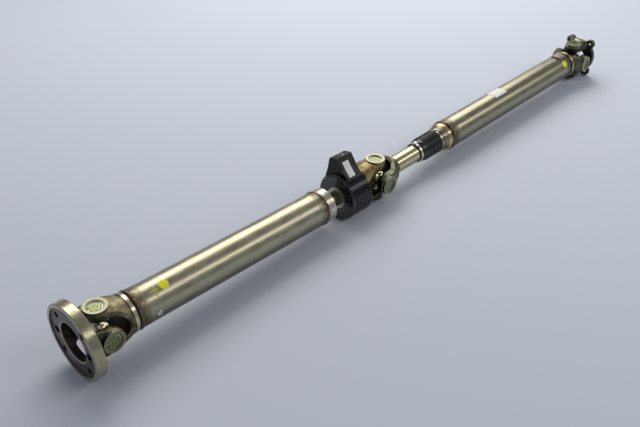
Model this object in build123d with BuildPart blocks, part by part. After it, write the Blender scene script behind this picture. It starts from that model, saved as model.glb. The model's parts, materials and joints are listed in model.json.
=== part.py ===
from build123d import *
import os
from math import asin, cos, degrees, pi, radians, sin

# Two-piece universal joint shaft with a centre support bearing and a slip joint.
# Millimetres, +Z up, X along the shaft. The origin is the centre of the near flange's front face.
# The shaft lies as it does on a flat floor: on its near flange, its support ring and its rear flange.

os.makedirs("parts", exist_ok=True)

# ---- Driving dimensions ----
# Near flange yoke
flange_diameter = 150.0
rim_thickness = 20.0          # at the outer rim
web_thickness = 18.0          # inside the rim
pilot_diameter = 136.0        # shallow recess in the front face
pilot_depth = 2.5
flange_bore = 76.0
bolt_circle = 111.0
bolt_hole = 12.5
bolt_count = 4
dowel_circle = 100.0
dowel_hole = 15.0
dowel_depth = 8.0
face_to_joint = 53.0

# Shaft lengths
front_spacing = 730.0         # near joint to centre joint
rear_spacing = 908.0          # centre joint to rear joint
front_tube_diameter = 76.2
rear_tube_diameter = 73.0
tube_wall = 3.2

# Universal joints (three alike)
ear_face = 50.0               # joint centre to the machined face of an ear
ear_inner = 30.0              # joint centre to the inside of an ear
ear_boss = 46.0
spot_face = 41.0
cup_diameter = 32.0
cup_length = 20.0
cup_floor = 4.0
cup_recess = 2.5              # from the machined face down to the cup
trunnion_diameter = 20.4
needle_diameter = 3.0
needle_length = 13.0
cross_body = 46.0
cross_thickness = 30.0
snap_ring_thickness = 1.5

# Yokes
yoke_slot_end = 43.0          # joint centre to the bottom of the fork
yoke_base = 8.0               # from the bottom of the fork to the machined shoulder
shoulder_width = 7.0
groove_width = 4.0
weld_width = 8.0
spigot_length = 14.0
crown_drop = 0.5              # rough outside of the arms below the machined ear faces

# Centre support
support_station = 632.5       # near joint to the middle of the bearing
support_diameter = 107.0
support_length = 60.0
shoulder_gap = 37.0           # from the stub shaft's shoulder to the rubber
front_lip = 9.0               # plain lip ahead of the ribs
rib_count = 9
rib_depth = 2.4
mouth_diameter = 54.0
rear_mouth_diameter = 60.0
journal_diameter = 30.0
stub_spline_outer = 29.0
stub_spline_core = 26.0
bearing_outer = 72.0
bearing_width = 19.0
ball_diameter = 10.4
ball_count = 9
foot_lean = 14.0              # degrees to +Y about the shaft, as the loose support lies
foot_height = 90.0            # shaft centre to the top of the foot
foot_length = 46.0
foot_top_width = 22.0
foot_hip_width = 44.0
foot_hip_height = 64.0
foot_root_width = 76.0
insert_diameter = 13.0
insert_bore = 8.5
insert_depth = 24.0

# Slip joint and boot
slip_shaft_diameter = 43.0
slip_shaft_end = 169.0        # centre joint to the end of the polished length
sleeve_start = 192.0          # centre joint to the nose of the splined sleeve
sleeve_end = 266.0
sleeve_ring = 17.0            # polished ring at the end of the sleeve
sleeve_nose = 48.0
sleeve_grooves = 4
spline_core = 35.0
spline_outer = 39.0
spline_count = 16
spline_reach = 257.0
boot_start = 147.0
boot_end = 235.0
boot_diameter = 58.0
boot_wall = 1.8
boot_folds = 8
boot_cuff = 10.0
boot_cone = 14.0              # plain cone from the front cuff to the folds
sleeve_cuff_diameter = 53.0

# Rear flange yoke
rear_bolt_circle = 104.0
rear_bolt_angle = 55.0        # of each bolt from level
rear_bolt_hole = 10.5
rear_lobe = 26.0
rear_hub_diameter = 96.0
rear_plate_start = 40.0       # rear joint to the plate
rear_plate = 12.0
rear_pilot_diameter = 57.0
rear_pilot_depth = 2.5
rear_bore = 40.0

# Small parts
weight_length = 31.0
weight_gap = 1.5              # from the end of the tube
weight_width = 26.0
weight_thickness = 4.0
plug_diameter = 12.0
plug_station = 100.0
nut_across_flats = 32.0
thread_diameter = 22.0
nut_height = 13.0

# Clearances
seat_clearance = 0.02         # pressed parts
run_clearance = 0.05          # rolling and sliding fits
soft_clearance = 0.3          # rubber beside another body
spline_clearance = 0.08

# ---- Worked-out values ----
flange_radius = flange_diameter / 2
support_radius = support_diameter / 2
front_tube_radius = front_tube_diameter / 2
rear_tube_radius = rear_tube_diameter / 2
cup_outer_end = ear_face - cup_recess
cup_mouth = cup_outer_end - cup_length
arm_crown = ear_face - crown_drop
ring_land = spot_face / 2 + 1.5
cup_inner_radius = trunnion_diameter / 2 + needle_diameter + 2 * run_clearance
rear_bolt_rise = rear_bolt_circle / 2 * sin(radians(rear_bolt_angle))
rear_bolt_reach = rear_bolt_circle / 2 * cos(radians(rear_bolt_angle))
rear_height = rear_bolt_rise + rear_lobe / 2


def shaft_line(start, slope):
    """Plane through a shaft line: X runs along the shaft, Y points up, Z points to -Y."""
    direction = (cos(radians(slope)), 0, sin(radians(slope)))
    return Plane(origin=start, x_dir=direction, z_dir=(0, -1, 0))


def along(line, station):
    """The same plane moved along its shaft line."""
    return Plane(origin=line.from_local_coords((station, 0, 0)), x_dir=line.x_dir, z_dir=line.z_dir)


def reverse(line):
    """The same plane with X pointing back along the shaft and Y still up."""
    return Plane(origin=line.origin, x_dir=-line.x_dir, z_dir=-line.z_dir)


def sideways(line):
    """The same plane turned a quarter about the shaft, so that Y lies level."""
    return Plane(origin=line.origin, x_dir=line.x_dir, z_dir=line.y_dir)


def across(line, station):
    """Plane square to the shaft at a station, with Y up and its normal along the shaft."""
    return Plane(origin=line.from_local_coords((station, 0, 0)), x_dir=-line.z_dir, z_dir=line.x_dir)


def write(part, name):
    """Label a finished piece and write it under its own name."""
    part.label = name
    export_step(part, f"parts/{name}.step")


def turned(line, outline, bore=0.0):
    """Solid of revolution from an outline of (station, radius) points that starts and ends at the bore."""
    first, last = outline[0][0], outline[-1][0]
    with BuildPart() as piece:
        with BuildSketch(line):
            with BuildLine():
                Polyline((first, bore), *outline, (last, bore), close=True)
            make_face()
        revolve(axis=Axis(line.origin, line.x_dir))
    return piece.part


# ---- Where things stand ----
near_joint = (face_to_joint, 0, 0)
front_slope = -degrees(asin((flange_radius - support_radius) / support_station))
front_line = shaft_line(near_joint, front_slope)
centre_joint = front_line.from_local_coords((front_spacing, 0, 0))
rear_rise = rear_height - flange_radius - centre_joint.Z
rear_slope = degrees(asin(rear_rise / rear_spacing))
rear_line = shaft_line(centre_joint, rear_slope)
rear_joint = rear_line.from_local_coords((rear_spacing, 0, 0))
flange_line = shaft_line(near_joint, 0)
rear_flange_line = shaft_line(rear_joint, 0)
centre_line = along(front_line, front_spacing)


# ---- Universal joint kit ----
def ear_axes(line):
    """Two planes whose normals are the trunnion axes: upright first, then level."""
    upright = Plane(origin=line.origin, x_dir=line.x_dir, z_dir=line.y_dir)
    level = Plane(origin=line.origin, x_dir=line.x_dir, z_dir=line.z_dir)
    return upright, level


def trunnion_sides(plane):
    """The two ends of one trunnion axis, as planes facing outwards."""
    return [Plane(origin=plane.origin, x_dir=plane.x_dir, z_dir=plane.z_dir * way) for way in (1, -1)]


def joint_kit(line, prefix):
    """Cross, seals, needle rollers and grease nipple of one universal joint."""
    upright, level = ear_axes(line)
    shoulder_radius = cup_inner_radius + 0.9
    trunnion_end = cup_outer_end - cup_floor - 0.1
    seal_foot = cup_mouth - 3.4
    nipple_seat = cross_body / 2 - 0.9
    nipple_hex = 4.6
    nipple_plane = Plane(
        origin=line.origin, x_dir=line.x_dir,
        z_dir=line.z_dir * cos(radians(45)) + line.y_dir * sin(radians(45)),
    )
    with BuildPart() as cross:
        with BuildSketch(across(line, 0)):
            Circle(cross_body / 2)
        extrude(amount=cross_thickness / 2, both=True)
        fillet(cross.edges().filter_by(GeomType.CIRCLE), radius=9.0)
        for plane in (upright, level):
            with BuildSketch(plane):
                Circle(shoulder_radius)
            extrude(amount=seal_foot, both=True)
            with BuildSketch(plane):
                Circle(trunnion_diameter / 2)
            extrude(amount=trunnion_end, both=True)
        with BuildSketch(nipple_plane.offset(nipple_seat)):
            Circle(nipple_hex + 0.8)
        extrude(amount=cross_body, mode=Mode.SUBTRACT)
    write(cross.part, f"{prefix}_cross")

    with BuildPart() as seals:
        for plane in (upright, level):
            for side in trunnion_sides(plane):
                with BuildSketch(side.offset(seal_foot)):
                    Circle(cup_diameter / 2 - 1.0)
                    Circle(trunnion_diameter / 2 + seat_clearance, mode=Mode.SUBTRACT)
                extrude(amount=cup_mouth - seal_foot - soft_clearance)
    write(seals.part, f"{prefix}_trunnion_seals")

    pitch_radius = trunnion_diameter / 2 + run_clearance + needle_diameter / 2
    needle_count = int(2 * pi * pitch_radius / (needle_diameter + run_clearance))
    with BuildPart() as needles:
        for plane in (upright, level):
            for side in trunnion_sides(plane):
                with BuildSketch(side.offset(cup_mouth + 1.5)):
                    with PolarLocations(pitch_radius, needle_count):
                        Circle(needle_diameter / 2)
                extrude(amount=needle_length)
    write(needles.part, f"{prefix}_needle_rollers")

    with BuildPart() as nipple:
        with BuildSketch(nipple_plane.offset(nipple_seat)):
            RegularPolygon(nipple_hex, 6)
        extrude(amount=4.0)
        with BuildSketch(nipple_plane.offset(nipple_seat + 4.0)):
            Circle(2.4)
        extrude(amount=3.4, taper=8)
        with BuildSketch(nipple_plane.offset(nipple_seat + 7.4)):
            Circle(2.7)
        extrude(amount=2.2, taper=18)
    write(nipple.part, f"{prefix}_grease_nipple")


def ear_fittings(plane, prefix):
    """Bearing cups and snap rings of the two ears whose shared axis is the plane's normal."""
    with BuildPart() as cups:
        for side in trunnion_sides(plane):
            with BuildSketch(side.offset(cup_mouth)):
                Circle(cup_diameter / 2)
            extrude(amount=cup_length)
            with BuildSketch(side.offset(cup_mouth)):
                Circle(cup_inner_radius)
            extrude(amount=cup_length - cup_floor, mode=Mode.SUBTRACT)
    write(cups.part, f"{prefix}_bearing_cups")

    ring_outer = cup_diameter / 2 + 0.9
    with BuildPart() as rings:
        for side in trunnion_sides(plane):
            with BuildSketch(side.offset(cup_outer_end + seat_clearance)) as ring:
                Circle(ring_outer)
                Circle(ring_outer - 3.4, mode=Mode.SUBTRACT)
                with Locations((-ring_outer, 0)):
                    Rectangle(12, 9, mode=Mode.SUBTRACT)
                with Locations((-ring_outer + 5.4, 5.6), (-ring_outer + 5.4, -5.6)):
                    Circle(2.6)
                    Circle(0.9, mode=Mode.SUBTRACT)
            extrude(amount=snap_ring_thickness)
    write(rings.part, f"{prefix}_snap_rings")


def fork(line, base, base_half, base_radius, slot_end, slot_corner):
    """Two arms in the plane of line, their ears on its Y axis, reaching along +X to a base."""
    ear_plane = Plane(origin=line.origin, x_dir=line.x_dir, z_dir=line.y_dir)
    boss_radius = ear_boss / 2
    tip = -boss_radius - 1
    with BuildPart() as arms:
        with BuildSketch(ear_plane):
            Circle(boss_radius)
            with BuildLine():
                flank = Spline(
                    (0, boss_radius), (base * 0.55, boss_radius + 0.3 * (base_half - boss_radius)),
                    (base, base_half),
                    tangents=[(1, 0), (base / 2, base_half - boss_radius)],
                )
                mirror(flank, about=Plane.XZ)
                Line((base, base_half), (base, -base_half))
                Line((0, boss_radius), (0, -boss_radius))
            make_face()
        extrude(amount=arm_crown + 2, both=True)
        with BuildSketch(line):
            with BuildLine():
                Polyline((base, base_radius), (base, 0), (tip, 0), (tip, arm_crown - 9))
                Spline(
                    (tip, arm_crown - 9), (0, arm_crown), (boss_radius, arm_crown - 2), (base, base_radius),
                    tangents=[(0.4, 1), (1, -0.35)],
                )
            make_face()
        revolve(axis=Axis(line.origin, line.x_dir), mode=Mode.INTERSECT)
        with BuildSketch(ear_plane):
            Circle(ring_land)
        extrude(amount=ear_face, both=True)
        with BuildSketch(line):
            with BuildLine():
                FilletPolyline(
                    (tip - 5, -ear_inner), (slot_end, -ear_inner),
                    (slot_end, ear_inner), (tip - 5, ear_inner),
                    radius=slot_corner,
                )
                Line((tip - 5, ear_inner), (tip - 5, -ear_inner))
            make_face()
        extrude(amount=base_half + boss_radius, both=True, mode=Mode.SUBTRACT)
        for side in trunnion_sides(ear_plane):
            with BuildSketch(side):
                Circle(cup_diameter / 2 + seat_clearance)
            extrude(amount=arm_crown + 5, mode=Mode.SUBTRACT)
            with BuildSketch(side.offset(ear_face)):
                Circle(spot_face / 2)
            extrude(amount=arm_crown, mode=Mode.SUBTRACT)
            with BuildSketch(side.offset(cup_outer_end)):
                Circle(cup_diameter / 2 + 1.0)
            extrude(amount=snap_ring_thickness + 2 * seat_clearance, mode=Mode.SUBTRACT)
    return arms.part


def weld_ring(line, start, inner_radius, tube_radius, name):
    """Raised weld bead that fills the gap between a shoulder and a tube end."""
    with BuildPart() as bead:
        with BuildSketch(line):
            with BuildLine():
                Line((start, inner_radius), (start, tube_radius - 0.6))
                ThreePointArc(
                    (start, tube_radius - 0.6), (start + weld_width / 2, tube_radius + 1.6),
                    (start + weld_width, tube_radius - 0.6),
                )
                Polyline(
                    (start + weld_width, tube_radius - 0.6), (start + weld_width, inner_radius),
                    (start, inner_radius),
                )
            make_face()
        revolve(axis=Axis(line.origin, line.x_dir))
    write(bead.part, name)


def tube(line, start, end, radius):
    """Plain round tube between two stations."""
    with BuildPart() as pipe:
        with BuildSketch(across(line, start)):
            Circle(radius)
            Circle(radius - tube_wall, mode=Mode.SUBTRACT)
        extrude(amount=end - start)
    return pipe.part


def tube_yoke(line, tube_radius, name):
    """Weld yoke: fork, machined shoulder, weld groove and the spigot that enters the tube."""
    spigot_radius = tube_radius - tube_wall - seat_clearance
    base = yoke_slot_end + yoke_base
    shoulder_end = base + shoulder_width
    groove_end = shoulder_end + groove_width
    spigot_end = groove_end + weld_width + spigot_length
    arms = fork(line, base, tube_radius - 1, tube_radius, yoke_slot_end, ear_inner * 0.97)
    root = turned(line, [
        (base - 0.5, tube_radius - 1), (base, tube_radius + 1.6), (shoulder_end, tube_radius + 1.6),
        (shoulder_end, tube_radius - 2.4), (groove_end, tube_radius - 2.4), (groove_end, spigot_radius),
        (spigot_end, spigot_radius), (spigot_end, spigot_radius - 8), (groove_end, spigot_radius - 8),
    ])
    with BuildPart() as yoke:
        add(arms)
        add(root)
    write(yoke.part, name)
    return groove_end


# ---- Near flange yoke ----
flange_fork_line = sideways(reverse(flange_line))
web_rear = face_to_joint - web_thickness
flange_arms = fork(flange_fork_line, web_rear + 4, 34, 60, web_rear, 8)
with BuildPart() as near_flange_yoke:
    with BuildSketch(across(flange_line, -face_to_joint)):
        Circle(flange_radius)
    extrude(amount=rim_thickness)
    with BuildSketch(across(flange_line, -web_rear)):
        Circle(flange_radius - 13)
    extrude(amount=rim_thickness, mode=Mode.SUBTRACT)
    add(flange_arms)
    with BuildSketch(across(flange_line, -face_to_joint)):
        Circle(flange_bore / 2)
    extrude(amount=web_thickness + 4, mode=Mode.SUBTRACT)
    with BuildSketch(across(flange_line, -face_to_joint)):
        Circle(pilot_diameter / 2)
    extrude(amount=pilot_depth, mode=Mode.SUBTRACT)
    with BuildSketch(across(flange_line, -face_to_joint)):
        with PolarLocations(bolt_circle / 2, bolt_count, start_angle=45):
            Circle(bolt_hole / 2)
    extrude(amount=rim_thickness, mode=Mode.SUBTRACT)
    with BuildSketch(across(flange_line, -face_to_joint)):
        with PolarLocations(dowel_circle / 2, 2):
            Circle(dowel_hole / 2)
    extrude(amount=dowel_depth, mode=Mode.SUBTRACT)
    front_face_edges = near_flange_yoke.edges().filter_by(GeomType.CIRCLE).sort_by(Axis.X)
    rim_edges = front_face_edges.filter_by(lambda edge: abs(edge.radius - flange_radius) < 0.01)
    chamfer(rim_edges, length=1.2)
    bore_edges = near_flange_yoke.edges().filter_by(GeomType.CIRCLE).filter_by(
        lambda edge: abs(edge.radius - flange_bore / 2) < 0.01
    )
    chamfer(bore_edges.sort_by(Axis.X)[0], length=2.0)
write(near_flange_yoke.part, "near_flange_yoke")

# ---- Near joint ----
joint_kit(front_line, "near")
near_upright, near_level = ear_axes(front_line)
ear_fittings(near_level, "near_flange")
ear_fittings(near_upright, "front_tube_yoke")

# ---- Front tube ----
front_weld_start = tube_yoke(front_line, front_tube_radius, "front_tube_yoke")
front_tube_start = front_weld_start + weld_width
front_bore_radius = front_tube_radius - tube_wall
weld_ring(front_line, front_weld_start, front_bore_radius, front_tube_radius, "front_weld_near")

shoulder_end = support_station - support_length / 2 - shoulder_gap
front_tube_end = shoulder_end - 22.0 - weld_width
plug_line = along(front_line, plug_station)
plug_axis = plug_line.z_dir * cos(radians(-4)) + plug_line.y_dir * sin(radians(-4))
plug_plane = Plane(origin=plug_line.origin, x_dir=plug_line.x_dir, z_dir=plug_axis)
with BuildPart() as front_tube:
    add(tube(front_line, front_tube_start, front_tube_end, front_tube_radius))
    with BuildSketch(plug_plane):
        Circle(plug_diameter / 2 - 2)
    extrude(amount=front_tube_radius + 5, mode=Mode.SUBTRACT)
write(front_tube.part, "front_tube")

with BuildPart() as vent_plug:
    with BuildSketch(plug_plane.offset(front_bore_radius - 1)):
        Circle(plug_diameter / 2 - 2 - seat_clearance)
    extrude(amount=tube_wall + 1.4)
    with BuildSketch(plug_plane.offset(front_tube_radius + seat_clearance)):
        Circle(plug_diameter / 2)
    extrude(amount=2.2)
    fillet(vent_plug.edges().filter_by(GeomType.CIRCLE).group_by(Axis(plug_plane.origin, plug_axis))[-1], 1.6)
write(vent_plug.part, "vent_plug")

weld_ring(front_line, front_tube_end, front_bore_radius, front_tube_radius, "front_weld_far")

# ---- Stub shaft and centre yoke ----
bearing_front = support_station - bearing_width / 2
bearing_rear = support_station + bearing_width / 2
journal_radius = journal_diameter / 2
neck_radius = journal_radius + 1.5
hub_face = bearing_rear + 1.0
fork_floor = front_spacing - yoke_slot_end
spline_radius = stub_spline_outer / 2
spline_core_radius = stub_spline_core / 2
stub_weld_end = front_tube_end + weld_width
thread_end = fork_floor + 2.6 + nut_height + 1.5
stub_body = turned(front_line, [
    (front_tube_end - spigot_length, front_bore_radius - seat_clearance),
    (stub_weld_end, front_bore_radius - seat_clearance),
    (stub_weld_end, front_tube_radius),
    (shoulder_end - 2, front_tube_radius),
    (shoulder_end, front_tube_radius - 2),
    (shoulder_end, neck_radius + 7),
    (shoulder_end + 9, neck_radius),
    (bearing_front, neck_radius),
    (bearing_front, journal_radius),
    (hub_face, journal_radius),
    (hub_face, spline_core_radius),
    (fork_floor, spline_core_radius),
    (fork_floor, thread_diameter / 2),
    (thread_end, thread_diameter / 2),
])


def spline_teeth(line, start, end, core_radius, outer_radius, gap=0.0):
    """Splined bar between two stations; a gap makes the cutter for the matching bore."""
    tooth_width = pi * (core_radius + outer_radius) / 2 / spline_count
    with BuildPart() as bar:
        with BuildSketch(across(line, start)):
            Circle(core_radius + gap)
            with PolarLocations((core_radius + outer_radius) / 2, spline_count):
                Rectangle(outer_radius - core_radius + 2 * gap + 1.0, tooth_width + 2 * gap)
            Circle(outer_radius + gap, mode=Mode.INTERSECT)
        extrude(amount=end - start)
    return bar.part


stub_spline = spline_teeth(front_line, hub_face, fork_floor - 1, spline_core_radius, spline_radius)
with BuildPart() as stub_shaft:
    add(stub_body)
    add(stub_spline)
write(stub_shaft.part, "stub_shaft")

centre_base = front_spacing - support_station - support_length / 2 - 2.0
centre_fork_line = reverse(centre_line)
hub_radius = 24.0
centre_arms = fork(centre_fork_line, centre_base, 36, 38, yoke_slot_end, ear_inner * 0.97)
centre_hub = turned(centre_fork_line, [
    (yoke_slot_end, hub_radius + 4), (centre_base, hub_radius + 4),
    (centre_base + 3, hub_radius), (front_spacing - hub_face, hub_radius),
])
hub_cutter = spline_teeth(
    front_line, hub_face - 5, fork_floor + 5, spline_core_radius, spline_radius, spline_clearance
)
with BuildPart() as centre_yoke:
    add(centre_arms)
    add(centre_hub)
    add(hub_cutter, mode=Mode.SUBTRACT)
    with BuildSketch(across(front_line, fork_floor)):
        Circle(nut_across_flats / 2 + 4)
    extrude(amount=yoke_slot_end / 2, mode=Mode.SUBTRACT)
write(centre_yoke.part, "centre_yoke")

with BuildPart() as yoke_washer:
    with BuildSketch(across(front_line, fork_floor)):
        Circle(nut_across_flats / 2 + 1)
        Circle(thread_diameter / 2 + seat_clearance, mode=Mode.SUBTRACT)
    extrude(amount=2.5)
write(yoke_washer.part, "yoke_washer")

with BuildPart() as yoke_nut:
    with BuildSketch(across(front_line, fork_floor + 2.5)):
        RegularPolygon(nut_across_flats / 2, 6, major_radius=False)
        Circle(thread_diameter / 2 + seat_clearance, mode=Mode.SUBTRACT)
    extrude(amount=nut_height)
    chamfer(yoke_nut.edges().filter_by(GeomType.CIRCLE), length=0.8)
write(yoke_nut.part, "yoke_nut")

# ---- Dust deflectors ----
deflector_gap = 1.8
deflector_face = support_station - support_length / 2 - 0.5
deflector_radius = mouth_diameter / 2 - deflector_gap
rear_deflector_radius = rear_mouth_diameter / 2 - deflector_gap
front_deflector = turned(front_line, [
    (deflector_face - 0.5, neck_radius + 1.6), (deflector_face, deflector_radius),
    (deflector_face + 6, deflector_radius + 0.8), (deflector_face + 6, deflector_radius - 0.8),
    (deflector_face + 1.6, deflector_radius - 1.6), (deflector_face + 1.6, neck_radius + 1.6),
    (deflector_face + 8, neck_radius + 1.6),
], bore=neck_radius + seat_clearance)
write(front_deflector, "front_deflector")
deflector_start = bearing_rear + 10
rear_deflector = turned(front_line, [
    (deflector_start, hub_radius + 1.6), (deflector_start + 4, hub_radius + 1.6),
    (deflector_start + 4, rear_deflector_radius), (deflector_start + 5.6, rear_deflector_radius),
    (deflector_start + 5.6, hub_radius + 1.6),
], bore=hub_radius + seat_clearance)
write(rear_deflector, "rear_deflector")

# ---- Ball bearing ----
pitch_radius = (journal_radius + bearing_outer / 2) / 2
race_gap = ball_diameter / 2 - 0.9
groove_radius = ball_diameter / 2 + run_clearance
bearing_line = along(front_line, support_station)


def race(inner_radius, outer_radius, name):
    """One ring of the ball bearing with its ball groove."""
    with BuildPart() as ring:
        with BuildSketch(bearing_line):
            with Locations((0, (inner_radius + outer_radius) / 2)):
                Rectangle(bearing_width, outer_radius - inner_radius)
            with Locations((0, pitch_radius)):
                Circle(groove_radius, mode=Mode.SUBTRACT)
        revolve(axis=Axis(bearing_line.origin, bearing_line.x_dir))
    write(ring.part, name)


race(journal_radius + seat_clearance, pitch_radius - race_gap, "bearing_inner_race")
race(pitch_radius + race_gap, bearing_outer / 2, "bearing_outer_race")

bearing_face = across(bearing_line, 0)
with BuildPart() as bearing_balls:
    with Locations(bearing_face):
        with PolarLocations(pitch_radius, ball_count):
            Sphere(ball_diameter / 2)
write(bearing_balls.part, "bearing_balls")

with BuildPart() as bearing_cage:
    with BuildSketch(across(bearing_line, -5.5)):
        Circle(pitch_radius + 1.3)
        Circle(pitch_radius - 1.3, mode=Mode.SUBTRACT)
    extrude(amount=11)
    with Locations(bearing_face):
        with PolarLocations(pitch_radius, ball_count):
            Cylinder(ball_diameter / 2 + 0.15, 8, rotation=(0, 90, 0), mode=Mode.SUBTRACT)
write(bearing_cage.part, "bearing_cage")

with BuildPart() as bearing_seals:
    for start in (-bearing_width / 2, bearing_width / 2 - 1.2):
        with BuildSketch(across(bearing_line, start)):
            Circle(pitch_radius + race_gap - seat_clearance)
            Circle(pitch_radius - race_gap + soft_clearance, mode=Mode.SUBTRACT)
        extrude(amount=1.2)
write(bearing_seals.part, "bearing_seals")

# ---- Centre support ----
carrier_radius = bearing_outer / 2 + 3.5
carrier_half = 15.0
carrier_lip = bearing_outer / 2 - 2.5
carrier_bore = bearing_outer / 2 + seat_clearance
bearing_carrier = turned(bearing_line, [
    (-carrier_half, carrier_radius), (carrier_half, carrier_radius), (carrier_half, carrier_lip),
    (bearing_width / 2 + seat_clearance, carrier_lip),
], bore=carrier_bore)
write(bearing_carrier, "bearing_carrier")

support_half = support_length / 2
rib_start = -support_half + front_lip
rib_pitch = (support_length - front_lip) / rib_count
rib_radius = support_radius - 1.0
mouth_radius = mouth_diameter / 2
rear_mouth_radius = rear_mouth_diameter / 2
cavity_radius = carrier_radius - 3.0
rib_points = []
for index in range(rib_count):
    rib_at = rib_start + index * rib_pitch
    rib_points += [
        (rib_at + 0.5, rib_radius - rib_depth), (rib_at + 0.30 * rib_pitch, rib_radius - rib_depth),
        (rib_at + 0.45 * rib_pitch, rib_radius), (rib_at + 0.90 * rib_pitch, rib_radius),
    ]
with BuildPart() as rubber_cushion:
    with BuildSketch(bearing_line):
        with BuildLine():
            Polyline(
                (-support_half, mouth_radius), (-support_half, support_radius - 4),
                (-support_half + 4, support_radius), (rib_start - 2, support_radius),
                *rib_points,
                (support_half, rib_radius - 2), (support_half, rear_mouth_radius),
                (support_half - 5, rear_mouth_radius), (support_half - 5, cavity_radius),
                (carrier_half + seat_clearance, cavity_radius),
                (carrier_half + seat_clearance, carrier_radius + seat_clearance),
                (-carrier_half - seat_clearance, carrier_radius + seat_clearance),
                (-carrier_half - seat_clearance, cavity_radius),
                (-support_half + 6, cavity_radius), (-support_half + 6, mouth_radius), close=True,
            )
        make_face()
    revolve(axis=Axis(bearing_line.origin, bearing_line.x_dir))
write(rubber_cushion.part, "rubber_cushion")

foot_shift = 2.0
foot_root_height = 36.0
foot_line = Plane(
    origin=bearing_line.origin, x_dir=bearing_line.x_dir,
    z_dir=bearing_line.z_dir * cos(radians(foot_lean)) + bearing_line.y_dir * sin(radians(foot_lean)),
)
with BuildPart() as support_foot:
    with BuildSketch(across(foot_line, foot_shift - foot_length / 2)):
        with BuildLine():
            Polyline(
                (-foot_root_width / 2, foot_root_height), (-foot_hip_width / 2, foot_hip_height),
                (-foot_top_width / 2, foot_height), (foot_top_width / 2, foot_height),
                (foot_hip_width / 2, foot_hip_height), (foot_root_width / 2, foot_root_height), close=True,
            )
        make_face()
        Circle(support_radius + seat_clearance, mode=Mode.SUBTRACT)
    extrude(amount=foot_length)
    upper_edges = support_foot.edges().filter_by(Axis(foot_line.origin, foot_line.x_dir))
    fillet(upper_edges.group_by(Axis(foot_line.origin, foot_line.y_dir))[-1], radius=3.5)
    with BuildSketch(Plane(
        origin=foot_line.from_local_coords((foot_shift, foot_height, 0)),
        x_dir=foot_line.x_dir, z_dir=-foot_line.y_dir,
    )):
        Circle(insert_diameter / 2 + seat_clearance)
    extrude(amount=insert_depth, mode=Mode.SUBTRACT)
write(support_foot.part, "support_foot")

insert_top = Plane(
    origin=foot_line.from_local_coords((foot_shift, foot_height + 0.6, 0)),
    x_dir=foot_line.x_dir, z_dir=-foot_line.y_dir,
)
with BuildPart() as foot_insert:
    with BuildSketch(insert_top):
        Circle(insert_diameter / 2)
    extrude(amount=insert_depth)
    with BuildSketch(insert_top):
        Circle(insert_bore / 2)
    extrude(amount=insert_depth - 4, mode=Mode.SUBTRACT)
write(foot_insert.part, "foot_insert")

# ---- Centre joint and slip yoke ----
joint_kit(centre_line, "centre")
centre_upright, centre_level = ear_axes(centre_line)
ear_fittings(centre_upright, "centre_yoke")
ear_fittings(centre_level, "slip_yoke")

slip_radius = slip_shaft_diameter / 2
slip_base = yoke_slot_end + yoke_base
slip_arms = fork(sideways(rear_line), slip_base, 33, 34, yoke_slot_end, ear_inner * 0.97)
slip_body = turned(rear_line, [
    (yoke_slot_end + 1, 30), (slip_base, 34), (slip_base + 10, 26), (slip_base + 18, slip_radius),
    (slip_shaft_end - 1, slip_radius), (slip_shaft_end, slip_radius - 1), (slip_shaft_end, spline_core / 2),
    (spline_reach, spline_core / 2),
])
slip_spline = spline_teeth(
    rear_line, slip_shaft_end, spline_reach - 2, spline_core / 2, spline_outer / 2
)
with BuildPart() as slip_yoke:
    add(slip_arms)
    add(slip_body)
    add(slip_spline)
write(slip_yoke.part, "slip_yoke")

# ---- Splined sleeve, boot and clamps ----
rear_bore_radius = rear_tube_radius - tube_wall
cuff_seat_radius = sleeve_cuff_diameter / 2
land_start = boot_end + 2.0
ring_start = sleeve_end - sleeve_ring
groove_pitch = (ring_start - land_start) / sleeve_grooves
groove_points = []
for index in range(sleeve_grooves):
    groove_at = land_start + index * groove_pitch
    land_radius = cuff_seat_radius + 3.2 + index * 0.9
    groove_points += [
        (groove_at, land_radius), (groove_at + 0.7 * groove_pitch, land_radius),
        (groove_at + 0.7 * groove_pitch, land_radius - 1.2), (groove_at + groove_pitch, land_radius - 1.2),
    ]
sleeve_body = turned(rear_line, [
    (sleeve_start, sleeve_nose / 2 - 1), (sleeve_start + 1, sleeve_nose / 2),
    (boot_end - boot_cuff - 3, sleeve_nose / 2), (boot_end - boot_cuff - 1, cuff_seat_radius),
    (land_start, cuff_seat_radius), *groove_points,
    (ring_start, rear_tube_radius - 3.5), (ring_start + 3, rear_tube_radius - 1.6),
    (ring_start + 8, rear_tube_radius - 0.5), (sleeve_end - 4, rear_tube_radius - 0.5),
    (sleeve_end - 4, rear_tube_radius - 2.5),
    (sleeve_end, rear_tube_radius - 2.5), (sleeve_end, rear_bore_radius - seat_clearance),
    (sleeve_end + weld_width + spigot_length, rear_bore_radius - seat_clearance),
])
sleeve_cutter = spline_teeth(
    rear_line, sleeve_start - 5, sleeve_end + weld_width + spigot_length + 5,
    spline_core / 2, spline_outer / 2, spline_clearance,
)
with BuildPart() as slip_sleeve:
    add(sleeve_body)
    add(sleeve_cutter, mode=Mode.SUBTRACT)
write(slip_sleeve.part, "slip_sleeve")

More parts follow.
